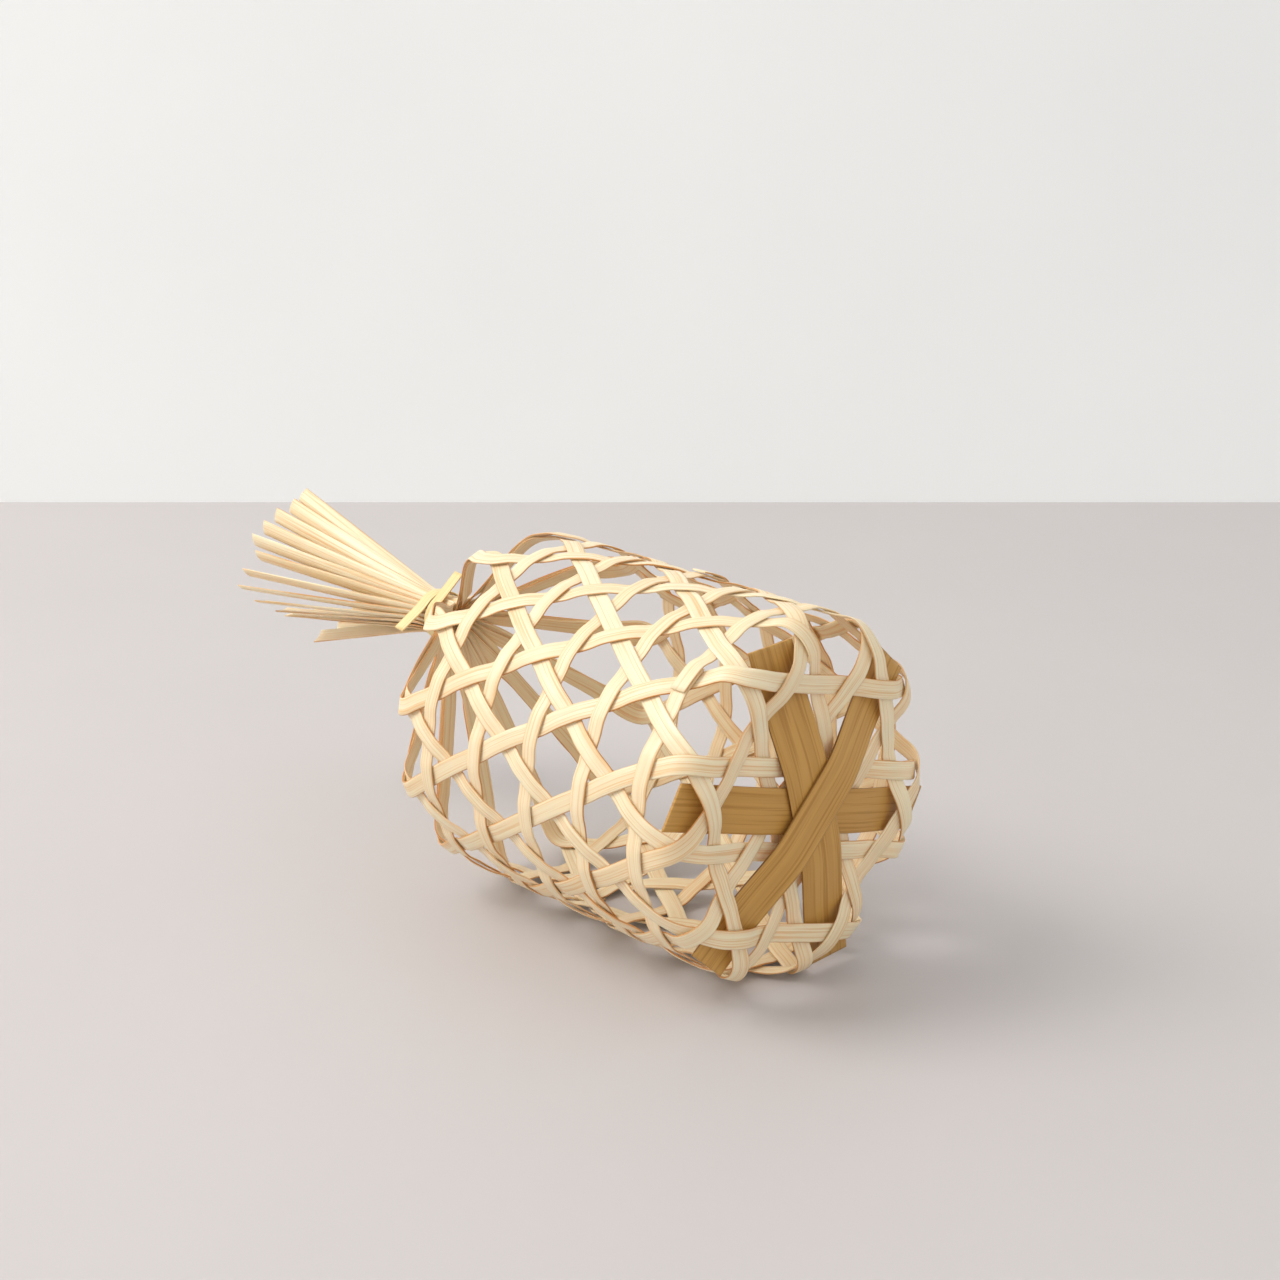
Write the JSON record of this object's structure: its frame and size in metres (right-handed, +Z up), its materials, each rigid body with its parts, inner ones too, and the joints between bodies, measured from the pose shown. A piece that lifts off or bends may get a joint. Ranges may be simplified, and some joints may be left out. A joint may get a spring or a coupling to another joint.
{
  "type": "woven strip basket",
  "caption": "Small open hexagon-weave strip basket lying on its side, with wide slats across its flat base and its strips gathered to a tied neck and a flaring tuft.",
  "frame": {"origin": "on the floor under the middle of the basket's overall box, the basket lying on its side", "axes": "+Z up, +Y along the basket from its base towards the neck and tuft, +X to the right seen from the base end"},
  "size_m": [0.0768, 0.1832, 0.0779],
  "materials": {
    "strip_bamboo": "pale split bamboo, satin, fine lengthwise fibres",
    "hoop_bamboo": "pale split bamboo, satin, fine lengthwise fibres",
    "slat_bamboo": "weathered outer bamboo, darker, matte",
    "tie_bamboo": "pale split bamboo, satin"
  },
  "bodies": {
    "root": {"strip_level_1": "strip_bamboo", "strip_level_2": "strip_bamboo", "strip_level_3": "strip_bamboo", "strip_level_4": "strip_bamboo", "strip_rising_1": "strip_bamboo", "strip_rising_2": "strip_bamboo", "strip_rising_3": "strip_bamboo", "strip_rising_4": "strip_bamboo", "strip_falling_1": "strip_bamboo", "strip_falling_2": "strip_bamboo", "strip_falling_3": "strip_bamboo", "strip_falling_4": "strip_bamboo", "hoop_1": "hoop_bamboo", "hoop_2": "hoop_bamboo", "hoop_3": "hoop_bamboo", "hoop_4": "hoop_bamboo", "hoop_5": "hoop_bamboo", "base_slat_inner": "slat_bamboo", "base_slat_middle": "slat_bamboo", "base_slat_outer": "slat_bamboo", "neck_tie": "tie_bamboo"}
  },
  "joints": []
}
